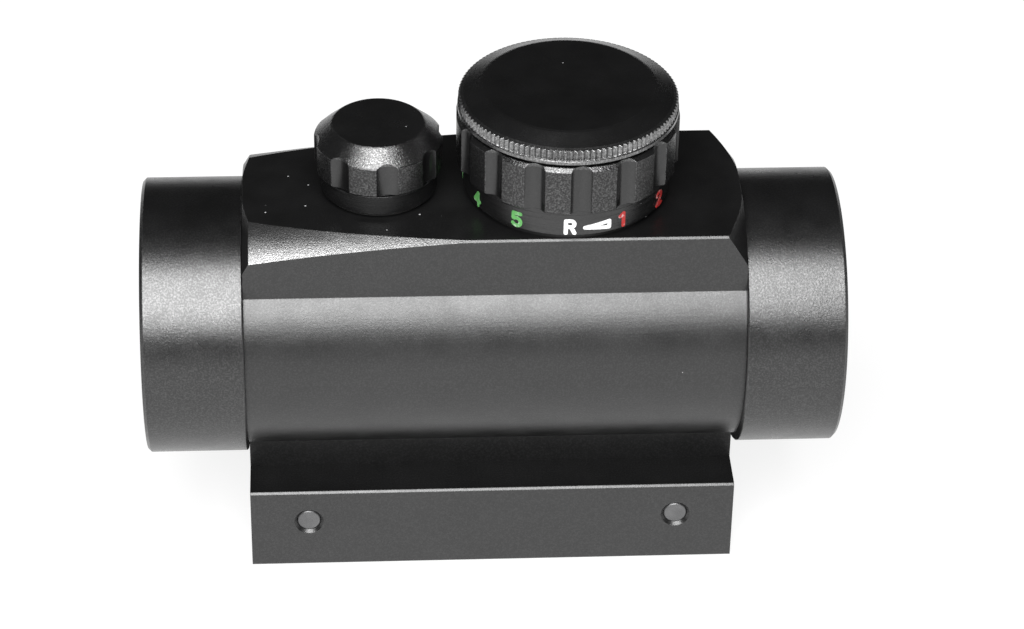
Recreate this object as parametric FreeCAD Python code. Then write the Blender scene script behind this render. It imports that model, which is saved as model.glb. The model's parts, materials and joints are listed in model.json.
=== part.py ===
import FreeCAD, Part
import math
import os

# Red dot sight, 30 mm clear aperture, on a dovetail clamp base. Millimetres.
#
# Frame: the origin is the centre of the face that sits on the accessory rail.
# +X runs along the tube to the eyepiece, so the objective end is at -X.
# +Y is the user's right with the eyepiece towards the user, and +Z is up.
#
# Threads are plain cylinders, at their mean radius unless a note says otherwise.

Vector = FreeCAD.Vector
Placement = FreeCAD.Placement
Rotation = FreeCAD.Rotation

# ---------------------------------------------------------------- driving dimensions

axis_height = 29.4          # tube axis above the rail seat
housing_half_length = 34.9
barrel_radius = 18.45
housing_bore_radius = 16.7
running_gap = 0.05          # radial gap of every turning or sliding fit

# Raised block on top of the barrel that carries the turrets.
block_half_width = 13.96
block_height = 21.07        # platform above the tube axis
block_edge_break = 0.28
end_cone_radius = 21.3      # radius of the turned end cones at the end planes
end_cone_slope = 1.3        # radius gained per millimetre along the tube
taper_start_inset = 0.9     # from the objective end plane
taper_start_radius = 22.6
taper_end_radius = 25.28
taper_arc_bulge = 0.32      # how far the taper's middle stands out of its chord
block_corner_radius = 25.6  # just outside the block's top corners

# Clamp base.
neck_half_width = 7.5
ledge_height = 7.6
base_bottom = -5.65
base_half_width = 14.15
seat_half_width = 7.8
relief_depth = 0.3
relief_half_width = 8.9
groove_half_width = 10.7
groove_top = -2.6
groove_bottom = -3.05
lip_half_width = 8.75
fixed_block_face = 9.2      # face of the base behind the movable jaw
jaw_inner_face = 10.0
jaw_top_gap = 0.3
base_edge_break = 0.3

# Clamp screws.
screw_spacing_half = 26.55
screw_height = 2.3
screw_radius = 1.65         # M4 at the core of its thread
screw_tip_recess = 0.3      # tip below the face of the fixed jaw
screw_tip_chamfer = 0.12
screw_hole_radius = 1.7
screw_hole_mouth = 2.15     # countersunk where it opens on the fixed jaw
jaw_hole_radius = 1.85
washer_radius = 4.0
washer_thickness = 0.7
screw_head_flats = 7.0
screw_head_height = 3.0
screw_slot_width = 1.0
screw_slot_depth = 1.3
stack_gap = 0.05

# Objective and eyepiece rings.
ring_radius = 19.6
ring_rim_chamfer = 0.45
ring_seam_chamfer = 0.2
objective_ring_length = 14.2
eyepiece_ring_length = 14.0
spigot_radius = 17.36
spigot_length = 5.7
spigot_bore_radius = 15.6
counterbore_radius = 17.4
counterbore_depth = 6.0
window_shoulder = 1.6       # window seat beyond the housing's end plane
window_bore_radius = 16.5
window_bore_length = 6.5
rim_bore_radius = 17.9
window_radius = 16.4
window_thickness = 2.0
window_edge_chamfer = 0.2
window_seal_section = 0.4
lock_ring_radius = 16.45
lock_ring_bore = 15.2
lock_ring_thickness = 2.0

# Inner tube and its two-way pivot.
tube_radius = 15.3
tube_bore = 14.4
tube_front = -28.5
tube_rear = 28.5
pivot_x = 25.0
pivot_ring_radius = 16.45
pivot_ring_bore = 15.5
pivot_ring_half_length = 3.0
pivot_pin_radius = 1.0
pivot_pin_reach = housing_bore_radius + 1.0
lens_lip_radius = 13.5
lens_lip_length = 0.6
lens_radius = 14.33
lens_edge = 3.6
lens_sag = 0.9
lens_retainer_length = 1.4
leaf_thickness = 0.3
leaf_half_width = 4.0

# Emitter.
emitter_x = 16.9
emitter_height = 11.8
emitter_radius = 0.9
emitter_length = 2.3
emitter_setback = 3.4       # from the lead to the emitter's front face
aperture_radius = 1.5
aperture_hole = 0.15
aperture_thickness = 0.2
holder_bottom = 10.2
holder_front = 2.4          # ahead of the lead
holder_back = 2.6
holder_half_width = 2.5
holder_chamfer = 0.4
lead_radius = 0.45
lead_hole_radius = 1.3

# Turrets. Heights are from the tube axis, outward.
turret_x = -15.84
turret_hole_radius = 4.0
cap_collar_radius = 8.15
cap_collar_bottom = 21.76
cap_collar_top = 24.7
cap_groove_radius = 7.75
cap_band_bottom = 25.1
cap_band_radius = 8.9
cap_band_top = 29.65
cap_top_radius = 6.38
cap_top = 31.73
cap_bore_top = 29.2
cap_flutes = 8
cap_flute_radius = 2.6
cap_flute_centre = 10.86
cap_flute_start = -83.0
bushing_radius = 5.5
bushing_top = 25.4
bushing_bottom = 16.95
turret_boss_radius = 9.3
drum_radius = 4.4
drum_bottom = 25.5
drum_thickness = 1.4
drum_stem_radius = 2.0
drum_stem_end = 20.1
drum_slot_width = 0.8
drum_slot_depth = 0.8
drum_clip_radius = 2.4
drum_clip_seat = 1.6
drum_clip_bottom = 20.4
drum_clip_top = 20.9
adjuster_radius = 1.2        # threaded end of the drum, inside the plunger
adjuster_end = 17.4
clicks = 24
click_circle = 3.4
click_ball_radius = 0.5
click_height = bushing_top - 0.3    # centre of the click ball
click_spring_radius = 0.45
click_spring_wire = 0.16
click_hole_depth = 3.0
plunger_radius = 2.45
plunger_tip = 15.35
plunger_tip_radius = 0.9
plunger_top = 19.3
plunger_bore_radius = 1.25
plunger_bore_end = 16.6
plunger_key_width = 0.76
plunger_key_reach = 2.85
cap_seal_radius = 7.25
cap_seal_section = 0.31

# Brightness dial. Heights are from the platform.
dial_x = 10.4
skirt_radius = 14.5
skirt_bottom = 0.93
grip_bottom = 5.03
grip_radius = 15.5
grip_bevel_start = 11.73
grip_top = 12.23
grip_top_radius = 14.9
grip_flutes = 15
grip_flute_radius = 1.8
grip_flute_centre = 16.4
grip_flute_start = -86.5
skirt_bore = 12.0
web_bottom = 6.1
web_top = 7.65
chamber_radius = 12.6
hub_radius = 4.15
positions = 12
dial_screw_circle = 9.5
dial_screw_radius = 0.8
dial_screw_depth = 3.0
chamber_mouth_radius = 13.8
chamber_mouth_depth = 0.6
notch_depth_top = 3.6
floor_radius = 13.5
floor_thickness = 0.6
hub_shoulder_radius = 5.0
hub_shoulder_top = 1.5
hub_groove_radius = 3.6
hub_groove_bottom = 6.5
hub_groove_top = 7.1
hub_top = 7.75
hub_thread_radius = 1.0
hub_seal_section = 0.26
detent_height = 2.4
detent_ball_radius = 0.8
detent_bore_radius = 0.85
detent_bore_end = 9.5
detent_spring_radius = 0.7
detent_spring_wire = 0.22
board_radius = 11.3
board_bottom = 1.55
board_top = 2.3
wiper_outer_radius = 9.4
wiper_inner_radius = 6.0
wiper_bottom = 5.75
wiper_angles = (20, 140, 260)
retainer_radius = 5.6
retainer_thickness = 0.5
notch_radius = 0.9
notch_circle = 11.5

# Battery cap. Heights are from the platform.
lid_bottom = 12.78
lid_lip_radius = 15.3
lid_lip_top = 13.53
lid_knurl_radius = 15.2
lid_knurl_depth = 0.32
lid_ribs = 120
lid_knurl_top = 14.97
lid_top_radius = 12.0
lid_top = 16.33
lid_spigot_bottom = 8.2
battery_radius = 10.0
battery_thickness = 3.2
battery_bottom = 9.9
battery_can_edge = 0.25
battery_base_radius = 8.6
tray_bottom = 9.3
tray_thickness = 0.5
tray_radius = 10.8
tray_top = 12.0
tray_foot_radius = 8.6
contact_radius = 3.0
contact_bottom = 9.02
lid_wall_inner = 11.2
lid_wall_outer = 12.55
lid_ceiling = 15.0
lid_rib_root = 14.7
lid_seal_radius = 13.2
lid_seal_section = 0.5
cell_spring_inner = 3.0
cell_spring_outer = 9.4
cell_spring_bottom = 13.15
cell_spring_top = 14.95

platform_height = axis_height + block_height


# ---------------------------------------------------------------- helpers

def frame_at(x, y, z, rotation=None):
    return Placement(Vector(x, y, z), rotation or Rotation())


to_x = Rotation(Vector(0, 1, 0), 90)       # local Z becomes +X
to_minus_x = Rotation(Vector(0, 1, 0), -90)
to_y = Rotation(Vector(1, 0, 0), -90)      # local Z becomes +Y

tube_frame = frame_at(0, 0, axis_height, to_x)
objective_frame = frame_at(-housing_half_length, 0, axis_height, to_minus_x)
eyepiece_frame = frame_at(housing_half_length, 0, axis_height, to_x)
elevation_frame = frame_at(turret_x, 0, axis_height)
windage_frame = frame_at(turret_x, 0, axis_height, to_y)
dial_frame = frame_at(dial_x, 0, platform_height)


def placed(shape, place):
    shape.Placement = place.multiply(shape.Placement)
    return shape


def turned(profile, place):
    """A solid of revolution about local Z from (radius, height) points."""
    points = [Vector(radius, 0, height) for radius, height in profile]
    face = Part.Face(Part.makePolygon(points + points[:1]))
    return placed(face.revolve(Vector(), Vector(0, 0, 1), 360), place)


def rod(radius, bottom, top, place, x=0.0, y=0.0):
    return placed(Part.makeCylinder(radius, top - bottom, Vector(x, y, bottom)), place)


def washer(outer, inner, bottom, top, place):
    return turned([(inner, bottom), (outer, bottom), (outer, top), (inner, top)], place)


def o_ring(centre_radius, section, height, place):
    return placed(Part.makeTorus(centre_radius, section, Vector(0, 0, height)), place)


def block(low, high, place=None):
    size = Vector(*high).sub(Vector(*low))
    shape = Part.makeBox(size.x, size.y, size.z, Vector(*low))
    return placed(shape, place) if place else shape


def around(count, start=0.0):
    """Evenly spaced angles in radians."""
    return [math.radians(start + 360.0 * i / count) for i in range(count)]


def prism(outline, x_low, x_high):
    """A solid along X from (y, z) points."""
    points = [Vector(x_low, y, z) for y, z in outline]
    face = Part.Face(Part.makePolygon(points + points[:1]))
    return face.extrude(Vector(x_high - x_low, 0, 0))


def coil_spring(radius, wire, bottom, top, place):
    """A close-wound spring as a stack of touching coils."""
    coils = max(3, round((top - bottom) / (2 * wire)))
    pitch = (top - bottom) / coils
    outline = [(radius - wire, bottom)]
    for i in range(coils):
        outline.append((radius, bottom + (i + 0.5) * pitch))
        outline.append((radius - 0.4 * wire, bottom + (i + 1) * pitch))
    outline.append((radius - wire, top))
    return turned(outline, place)


def fluted(shape, count, start, cutter_radius, centre, bottom, top):
    """Cut evenly spaced upright flutes into a shape that stands on local Z."""
    cutters = []
    for angle in around(count, start):
        spot = Vector(centre * math.cos(angle), centre * math.sin(angle), bottom)
        cutters.append(Part.makeCylinder(cutter_radius, top - bottom, spot))
    return shape.cut(cutters)


here = Placement()
parts = {}


# ---------------------------------------------------------------- housing

def block_envelope():
    """The turned shape that the block's ends are cut to."""
    front = -housing_half_length
    rear = housing_half_length
    cone_run = (block_corner_radius - end_cone_radius) / end_cone_slope
    start = Vector(front + taper_start_inset, 0, taper_start_radius)
    end = Vector(0, 0, taper_end_radius)
    middle = (start + end) * 0.5 + Vector(0, 0, taper_arc_bulge)
    edges = [
        Part.makeLine(Vector(front, 0, 0), Vector(front, 0, end_cone_radius)),
        Part.makeLine(Vector(front, 0, end_cone_radius), start),
        Part.Arc(start, middle, end).toShape(),
        Part.makeLine(end, Vector(3, 0, block_corner_radius)),
        Part.makeLine(Vector(3, 0, block_corner_radius),
                      Vector(rear - cone_run, 0, block_corner_radius)),
        Part.makeLine(Vector(rear - cone_run, 0, block_corner_radius),
                      Vector(rear, 0, end_cone_radius)),
        Part.makeLine(Vector(rear, 0, end_cone_radius), Vector(rear, 0, 0)),
        Part.makeLine(Vector(rear, 0, 0), Vector(front, 0, 0)),
    ]
    face = Part.Face(Part.Wire(edges))
    return placed(face.revolve(Vector(), Vector(1, 0, 0), 360), frame_at(0, 0, axis_height))


def turret_block():
    side = block_half_width
    top = platform_height
    outline = [
        (-side, axis_height), (-side, top - block_edge_break),
        (-side + block_edge_break, top), (side - block_edge_break, top),
        (side, top - block_edge_break), (side, axis_height),
    ]
    return prism(outline, -housing_half_length, housing_half_length).common(block_envelope())


def base_outline():
    """Section of the base with the fixed jaw, from the neck round to the neck."""
    return [
        (-neck_half_width, axis_height), (-neck_half_width, ledge_height),
        (-base_half_width + base_edge_break, ledge_height),
        (-base_half_width, ledge_height - base_edge_break),
        (-base_half_width, base_bottom + base_edge_break),
        (-base_half_width + base_edge_break, base_bottom),
        (-lip_half_width, base_bottom),
        (-lip_half_width, groove_bottom - (groove_half_width - lip_half_width)),
        (-groove_half_width, groove_bottom), (-groove_half_width, groove_top),
        (-relief_half_width, groove_top + groove_half_width - relief_half_width),
        (-relief_half_width, relief_depth), (-seat_half_width, relief_depth),
        (-seat_half_width, 0), (seat_half_width, 0), (seat_half_width, relief_depth),
        (fixed_block_face, relief_depth), (fixed_block_face, ledge_height),
        (neck_half_width, ledge_height), (neck_half_width, axis_height),
    ]


def make_housing():
    half = housing_half_length
    barrel = rod(barrel_radius, -half, half, tube_frame)
    base = prism(base_outline(), -half, half)
    boss = rod(turret_boss_radius, 0, block_height, windage_frame)
    body = barrel.fuse([turret_block(), base, boss])
    cuts = [rod(housing_bore_radius, -half - 1, half + 1, tube_frame)]
    for end in (objective_frame, eyepiece_frame):
        cuts.append(rod(counterbore_radius, -counterbore_depth, 1, end))
    for turret in (elevation_frame, windage_frame):
        cuts.append(rod(turret_hole_radius, tube_bore, block_height + 1, turret))
    for x in (-screw_spacing_half, screw_spacing_half):
        place = frame_at(x, 0, screw_height, to_y)
        cuts.append(rod(screw_hole_radius, -base_half_width - 1, base_half_width, place))
        cuts.append(Part.makeCone(screw_hole_mouth + 0.1, screw_hole_radius,
                                  screw_hole_mouth + 0.1 - screw_hole_radius,
                                  Vector(x, -base_half_width - 0.1, screw_height),
                                  Vector(0, 1, 0)))
    cuts.append(rod(lead_hole_radius, -8, 1, dial_frame, emitter_x - dial_x))
    for x, y in dial_screw_spots():
        cuts.append(rod(dial_screw_radius + running_gap, -dial_screw_depth - 0.2, 1,
                        dial_frame, x, y))
    cuts.append(rod(pivot_pin_radius + running_gap, -pivot_pin_reach, pivot_pin_reach,
                    frame_at(pivot_x, 0, axis_height)))
    return body.cut(cuts).removeSplitter()


# ---------------------------------------------------------------- end rings and windows

def make_end_ring(length, end):
    """An end ring. Heights run outward from the housing's end plane."""
    shoulder = window_shoulder
    return turned([
        (spigot_bore_radius, -spigot_length), (spigot_radius - 0.2, -spigot_length),
        (spigot_radius, -spigot_length + 0.2), (spigot_radius, 0),
        (ring_radius - ring_seam_chamfer, 0), (ring_radius, ring_seam_chamfer),
        (ring_radius, length - ring_rim_chamfer), (ring_radius - ring_rim_chamfer, length),
        (rim_bore_radius + 0.15, length), (rim_bore_radius, length - 0.15),
        (window_bore_radius, shoulder + window_bore_length),
        (window_bore_radius, shoulder), (spigot_bore_radius, shoulder),
    ], end)


def make_window(end):
    bottom = window_shoulder + 2 * window_seal_section + stack_gap
    top = bottom + window_thickness
    edge = window_edge_chamfer
    return turned([
        (0, bottom), (window_radius - edge, bottom), (window_radius, bottom + edge),
        (window_radius, top - edge), (window_radius - edge, top), (0, top),
    ], end)


def make_window_seal(end):
    return o_ring(window_bore_radius - window_seal_section - 0.05, window_seal_section,
                  window_shoulder + window_seal_section, end)


def make_lock_ring(end):
    bottom = window_shoulder + 2 * window_seal_section + window_thickness + 2 * stack_gap
    top = bottom + lock_ring_thickness
    ring = turned([
        (lock_ring_bore + 0.3, bottom), (lock_ring_radius, bottom),
        (lock_ring_radius, top - 0.2), (lock_ring_radius - 0.2, top),
        (lock_ring_bore + 0.6, top), (lock_ring_bore, top - 0.6), (lock_ring_bore, bottom + 0.3),
    ], end)
    slot = block((-20, -0.7, top - 0.8), (20, 0.7, top + 1), end)
    return ring.cut(slot)


# ---------------------------------------------------------------- inner tube

def make_inner_tube():
    length = tube_rear - tube_front
    shell = turned([
        (lens_lip_radius, 0), (tube_radius - 0.2, 0), (tube_radius, 0.2),
        (tube_radius, length - 0.2), (tube_radius - 0.2, length), (tube_bore, length),
        (tube_bore, lens_lip_length), (lens_lip_radius, lens_lip_length),
    ], frame_at(tube_front, 0, axis_height, to_x))
    pins = rod(pivot_pin_radius + running_gap, -20, 20, frame_at(pivot_x, 0, axis_height, to_y))
    lead = rod(lead_radius + running_gap, 10, 20, frame_at(emitter_x, 0, axis_height))
    return shell.cut([pins, lead])


def make_pivot_ring():
    half = pivot_ring_half_length
    ring = turned([
        (pivot_ring_bore, -half), (pivot_ring_radius - 0.4, -half),
        (pivot_ring_radius, -half + 1.2), (pivot_ring_radius, half - 1.2),
        (pivot_ring_radius - 0.4, half), (pivot_ring_bore, half),
    ], frame_at(pivot_x, 0, axis_height, to_x))
    upright = rod(pivot_pin_radius, -20, 20, frame_at(pivot_x, 0, axis_height))
    level = rod(pivot_pin_radius, -20, 20, frame_at(pivot_x, 0, axis_height, to_y))
    return ring.cut([upright, level])


def make_pivot_pins():
    """Two upright pins turn in the housing and two level pins in the tube."""
    level = frame_at(pivot_x, 0, axis_height, to_y)
    upright = frame_at(pivot_x, 0, axis_height)
    outer = pivot_pin_reach - 0.15
    pins = []
    for side in (1, -1):
        ends = sorted((side * (tube_radius + 0.25), side * outer))
        pins.append(rod(pivot_pin_radius, ends[0], ends[1], upright))
        ends = sorted((side * (tube_bore + 0.1), side * (pivot_ring_radius - 0.05)))
        pins.append(rod(pivot_pin_radius, ends[0], ends[1], level))
    return Part.makeCompound(pins)


def make_reflex_lens():
    """A meniscus lens, hollow side towards the eyepiece."""
    front = tube_front + lens_lip_length + 0.05
    back = front + lens_edge
    curve_radius = (lens_radius ** 2 + lens_sag ** 2) / (2 * lens_sag)
    disc = rod(lens_radius, front, back, tube_frame)
    bulge = Part.makeSphere(curve_radius, Vector(front + curve_radius, 0, axis_height))
    hollow = Part.makeSphere(curve_radius, Vector(back - lens_sag + curve_radius, 0, axis_height))
    return disc.common(bulge).cut(hollow)


def make_lens_retainer():
    bottom = lens_lip_length + lens_edge + 0.1
    return turned([
        (lens_lip_radius, bottom + 0.4), (lens_lip_radius + 0.4, bottom),
        (lens_radius, bottom), (lens_radius, bottom + lens_retainer_length),
        (lens_lip_radius, bottom + lens_retainer_length),
    ], frame_at(tube_front, 0, axis_height, to_x))


def make_return_spring():
    """A bowed leaf in the gap below the tube, opposite both turrets."""
    middle = 0.5 * (tube_radius + housing_bore_radius)
    inner = middle - 0.5 * leaf_thickness
    outer = middle + 0.5 * leaf_thickness
    band = washer(outer, inner, -leaf_half_width, leaf_half_width,
                  frame_at(turret_x, 0, axis_height, to_x))
    wedge_face = Part.Face(Part.makePolygon([
        Vector(turret_x - 5, 0, axis_height), Vector(turret_x - 5, -30, axis_height - 8),
        Vector(turret_x - 5, -8, axis_height - 30), Vector(turret_x - 5, 0, axis_height)]))
    return band.common(wedge_face.extrude(Vector(10, 0, 0)))


# ---------------------------------------------------------------- emitter

def make_emitter_holder():
    side = holder_half_width
    body = block((emitter_x - holder_front, -side, axis_height + holder_bottom),
                 (emitter_x + holder_back, side, axis_height + tube_bore))
    body = body.common(rod(tube_bore - 0.02, -40, 40, tube_frame))
    lower_edges = [edge for edge in body.Edges
                   if edge.BoundBox.ZMax < axis_height + holder_bottom + 0.01]
    body = body.makeChamfer(holder_chamfer, lower_edges)
    seat = rod(emitter_radius + 0.05, emitter_x - 3, emitter_x - 1,
               frame_at(0, 0, axis_height + emitter_height, to_x))
    lead = rod(lead_radius + 0.05, emitter_height + 0.8, 20, frame_at(emitter_x, 0, axis_height))
    return body.cut([seat, lead])


def make_emitter():
    place = frame_at(emitter_x - emitter_setback, 0, axis_height + emitter_height, to_x)
    return turned([
        (0, 0), (emitter_radius - 0.3, 0), (emitter_radius, 0.4),
        (emitter_radius, emitter_length), (0, emitter_length),
    ], place)


def make_emitter_aperture():
    x_low = emitter_x - emitter_setback - aperture_thickness - 0.1
    return washer(aperture_radius, aperture_hole, 0, aperture_thickness,
                  frame_at(x_low, 0, axis_height + emitter_height, to_x))


def make_emitter_lead():
    return rod(lead_radius, emitter_height + 0.9, block_height + 0.9,
               frame_at(emitter_x, 0, axis_height))


# ---------------------------------------------------------------- turrets

def make_turret_cap(turret):
    cap = Part.Face(Part.makePolygon([Vector(r, 0, h) for r, h in [
        (0, cap_bore_top), (bushing_radius + running_gap, cap_bore_top),
        (bushing_radius + running_gap, cap_collar_bottom),
        (cap_collar_radius - 0.15, cap_collar_bottom),
        (cap_collar_radius, cap_collar_bottom + 0.15),
        (cap_collar_radius, cap_collar_top - 0.1), (cap_collar_radius - 0.1, cap_collar_top),
        (cap_groove_radius, cap_collar_top), (cap_groove_radius, cap_band_bottom),
        (cap_band_radius - 0.2, cap_band_bottom), (cap_band_radius, cap_band_bottom + 0.2),
        (cap_band_radius, cap_band_top - 0.12), (cap_band_radius - 0.14, cap_band_top),
        (cap_top_radius + 0.2, cap_top - 0.14), (cap_top_radius, cap_top), (0, cap_top),
        (0, cap_bore_top)]])).revolve(Vector(), Vector(0, 0, 1), 360)
    cap = fluted(cap, cap_flutes, cap_flute_start, cap_flute_radius, cap_flute_centre,
                 cap_band_bottom - 0.2, cap_top + 1)
    return placed(cap, turret)


def make_cap_seal(turret):
    return o_ring(cap_seal_radius, cap_seal_section, 0.5 * (block_height + cap_collar_bottom),
                  turret)


def make_bushing(turret):
    body = turned([
        (plunger_radius + running_gap, bushing_bottom),
        (turret_hole_radius - 0.04, bushing_bottom), (turret_hole_radius - 0.04, block_height),
        (bushing_radius, block_height), (bushing_radius, bushing_top - 0.3),
        (bushing_radius - 0.3, bushing_top), (drum_stem_radius + running_gap, bushing_top),
        (drum_stem_radius + running_gap, drum_clip_top + 0.1),
        (plunger_radius + running_gap, drum_clip_top + 0.1),
    ], here)
    key_slot = block((0, -0.45, bushing_bottom - 1), (2.95, 0.45, drum_clip_bottom - 0.1))
    click_hole = rod(click_ball_radius + 0.05, bushing_top - click_hole_depth, bushing_top + 1,
                     here, -click_circle)
    return placed(body.cut([key_slot, click_hole]), turret)


def make_drum(turret):
    top = drum_bottom + drum_thickness
    body = turned([
        (0, adjuster_end), (adjuster_radius - 0.15, adjuster_end),
        (adjuster_radius, adjuster_end + 0.15), (adjuster_radius, drum_stem_end),
        (drum_stem_radius, drum_stem_end), (drum_stem_radius, drum_clip_bottom - 0.05),
        (drum_clip_seat, drum_clip_bottom - 0.05), (drum_clip_seat, drum_clip_top + 0.05),
        (drum_stem_radius, drum_clip_top + 0.05), (drum_stem_radius, drum_bottom),
        (drum_radius, drum_bottom), (drum_radius, top - 0.2), (drum_radius - 0.2, top), (0, top),
    ], here)
    cuts = [block((-5, -0.5 * drum_slot_width, top - drum_slot_depth),
                  (5, 0.5 * drum_slot_width, top + 1))]
    for angle in around(clicks):
        spot = Vector(click_circle * math.cos(angle), click_circle * math.sin(angle), click_height)
        cuts.append(Part.makeSphere(click_ball_radius + 0.05, spot))
    return placed(body.cut(cuts), turret)


def make_click_ball(turret):
    return placed(Part.makeSphere(click_ball_radius, Vector(-click_circle, 0, click_height)), turret)


def make_click_spring(turret):
    spot = turret.multiply(frame_at(-click_circle, 0, 0))
    return coil_spring(click_spring_radius, click_spring_wire,
                       bushing_top - click_hole_depth + 0.05,
                       click_height - click_ball_radius - 0.05, spot)


def make_drum_clip(turret):
    ring = washer(drum_clip_radius, drum_clip_seat + running_gap, drum_clip_bottom, drum_clip_top,
                  here)
    mouth = block((-3, -0.5, drum_clip_bottom - 1), (0, 0.5, drum_clip_top + 1))
    return placed(ring.cut(mouth), turret)


def make_plunger(turret):
    body = turned([
        (0, plunger_tip), (plunger_tip_radius, plunger_tip),
        (plunger_radius, plunger_tip + 1.1), (plunger_radius, plunger_top),
        (plunger_bore_radius, plunger_top), (plunger_bore_radius, plunger_bore_end),
        (0, plunger_bore_end),
    ], here)
    key = block((1.6, -0.5 * plunger_key_width, plunger_bore_end + 0.6),
                (plunger_key_reach, 0.5 * plunger_key_width, plunger_top - 0.3))
    return placed(body.fuse(key), turret)


# ---------------------------------------------------------------- brightness dial

def dial_screw_spots():
    return [(dial_screw_circle * math.cos(a), dial_screw_circle * math.sin(a))
            for a in around(3, -60)]


def make_dial():
    body = turned([
        (skirt_bore, skirt_bottom), (skirt_radius - 0.2, skirt_bottom),
        (skirt_radius, skirt_bottom + 0.2), (skirt_radius, grip_bottom),
        (grip_radius - 0.2, grip_bottom), (grip_radius, grip_bottom + 0.2),
        (grip_radius, grip_bevel_start), (grip_top_radius, grip_top),
        (chamber_mouth_radius, grip_top), (chamber_mouth_radius, grip_top - chamber_mouth_depth),
        (chamber_radius, grip_top - chamber_mouth_depth),
        (chamber_radius, web_top), (hub_radius + running_gap, web_top),
        (hub_radius + running_gap, web_bottom), (skirt_bore, web_bottom),
    ], here)
    body = fluted(body, grip_flutes, grip_flute_start, grip_flute_radius, grip_flute_centre,
                  grip_bottom - 0.5, grip_top + 1)
    body = fluted(body, positions, 90.0, notch_radius, notch_circle,
                  skirt_bottom - 1, notch_depth_top)
    return placed(body, dial_frame)


def make_dial_base():
    body = turned([
        (0, 0), (floor_radius, 0), (floor_radius, floor_thickness),
        (hub_shoulder_radius, floor_thickness), (hub_shoulder_radius, hub_shoulder_top),
        (hub_radius, hub_shoulder_top), (hub_radius, hub_groove_bottom),
        (hub_groove_radius, hub_groove_bottom), (hub_groove_radius, hub_groove_top),
        (hub_radius, hub_groove_top), (hub_radius, hub_top), (0, hub_top),
    ], here)
    tower = block((-1.6, 9.0, 0.3), (1.6, 11.4, detent_height + 1.6))
    body = body.fuse(tower)
    cuts = [rod(detent_bore_radius, detent_bore_end, 12, frame_at(0, 0, detent_height, to_y)),
            rod(hub_thread_radius, 4.4, hub_top + 1, here),
            rod(lead_hole_radius, -1, hub_shoulder_top + 0.1, here, emitter_x - dial_x)]
    for x, y in dial_screw_spots():
        cuts.append(rod(dial_screw_radius + running_gap, -1, hub_shoulder_top + 0.1, here, x, y))
    return placed(body.cut(cuts), dial_frame)


def make_dial_base_screws():
    screws = []
    for x, y in dial_screw_spots():
        screw = turned([
            (0, -dial_screw_depth), (dial_screw_radius, -dial_screw_depth),
            (dial_screw_radius, floor_thickness + 0.02), (1.45, floor_thickness + 0.02),
            (1.45, 1.0), (1.25, 1.2), (0, 1.2),
        ], here)
        screw = screw.cut(block((-2, -0.2, 0.9), (2, 0.2, 2)))
        screws.append(placed(screw, dial_frame.multiply(frame_at(x, y, 0))))
    return Part.makeCompound(screws)


def make_switch_board():
    board = washer(board_radius, hub_radius + running_gap, board_bottom, board_top, here)
    notch = block((-2.1, 8.5, 1), (2.1, 12, 3))
    return placed(board.cut(notch), dial_frame)


def make_dial_wiper():
    pieces = [washer(wiper_outer_radius, wiper_inner_radius, wiper_bottom, web_bottom - 0.02, here)]
    for angle in wiper_angles:
        finger = block((7.0, -0.6, board_top + 0.15), (7.3, 0.6, wiper_bottom + 0.15))
        pieces.append(placed(finger, frame_at(0, 0, 0, Rotation(Vector(0, 0, 1), angle))))
    return placed(pieces[0].fuse(pieces[1:]), dial_frame)


def make_detent_ball():
    return placed(Part.makeSphere(detent_ball_radius, Vector(0, notch_circle, detent_height)),
                  dial_frame)


def make_detent_spring():
    spot = dial_frame.multiply(frame_at(0, 0, detent_height, to_y))
    return coil_spring(detent_spring_radius, detent_spring_wire, detent_bore_end + 0.05,
                       notch_circle - detent_ball_radius - 0.05, spot)


def make_dial_retainer():
    return washer(retainer_radius, hub_thread_radius, hub_top, hub_top + retainer_thickness,
                  dial_frame)


def make_dial_retainer_screw():
    shank = hub_thread_radius - 0.05
    head_low = hub_top + retainer_thickness + 0.02
    head_top = head_low + 0.53
    screw = turned([(0, 4.6), (shank, 4.6), (shank, head_low), (1.9, head_low),
                    (1.9, head_top - 0.2), (1.7, head_top), (0, head_top)], here)
    slot = block((-3, -0.25, head_top - 0.3), (3, 0.25, head_top + 0.2))
    return placed(screw.cut(slot), dial_frame)


def make_dial_hub_seal():
    return o_ring(hub_groove_radius + hub_seal_section + 0.02, hub_seal_section,
                  0.5 * (hub_groove_bottom + hub_groove_top), dial_frame)


def make_battery_tray():
    return turned([
        (1.2, tray_bottom), (tray_foot_radius, tray_bottom), (tray_foot_radius, web_top),
        (tray_radius, web_top), (tray_radius, tray_top), (battery_radius + 0.1, tray_top),
        (battery_radius + 0.1, tray_bottom + tray_thickness),
        (1.2, tray_bottom + tray_thickness),
    ], dial_frame)


def make_battery_contact():
    low = contact_bottom
    return turned([(0, low), (contact_radius, low), (contact_radius, low + 0.25),
                   (1.0, low + 0.25), (1.0, low + 0.68), (0.8, low + 0.85), (0, low + 0.85)],
                  dial_frame)


def make_battery():
    low = battery_bottom
    top = low + battery_thickness
    return turned([
        (0, low), (battery_base_radius, low), (battery_base_radius + 0.2, low + 0.35),
        (battery_radius - 0.2, low + 0.45), (battery_radius, low + 0.7),
        (battery_radius, top - battery_can_edge), (battery_radius - battery_can_edge, top),
        (0, top),
    ], dial_frame)


def make_battery_spring():
    """A dished contact spring held in the cap."""
    return turned([
        (cell_spring_inner, cell_spring_bottom), (cell_spring_inner + 1.4, cell_spring_bottom),
        (cell_spring_outer, cell_spring_top - 0.2), (cell_spring_outer, cell_spring_top),
        (cell_spring_outer - 0.5, cell_spring_top),
        (cell_spring_inner + 0.9, cell_spring_bottom + 0.25),
        (cell_spring_inner, cell_spring_bottom + 0.25),
    ], dial_frame)


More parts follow.
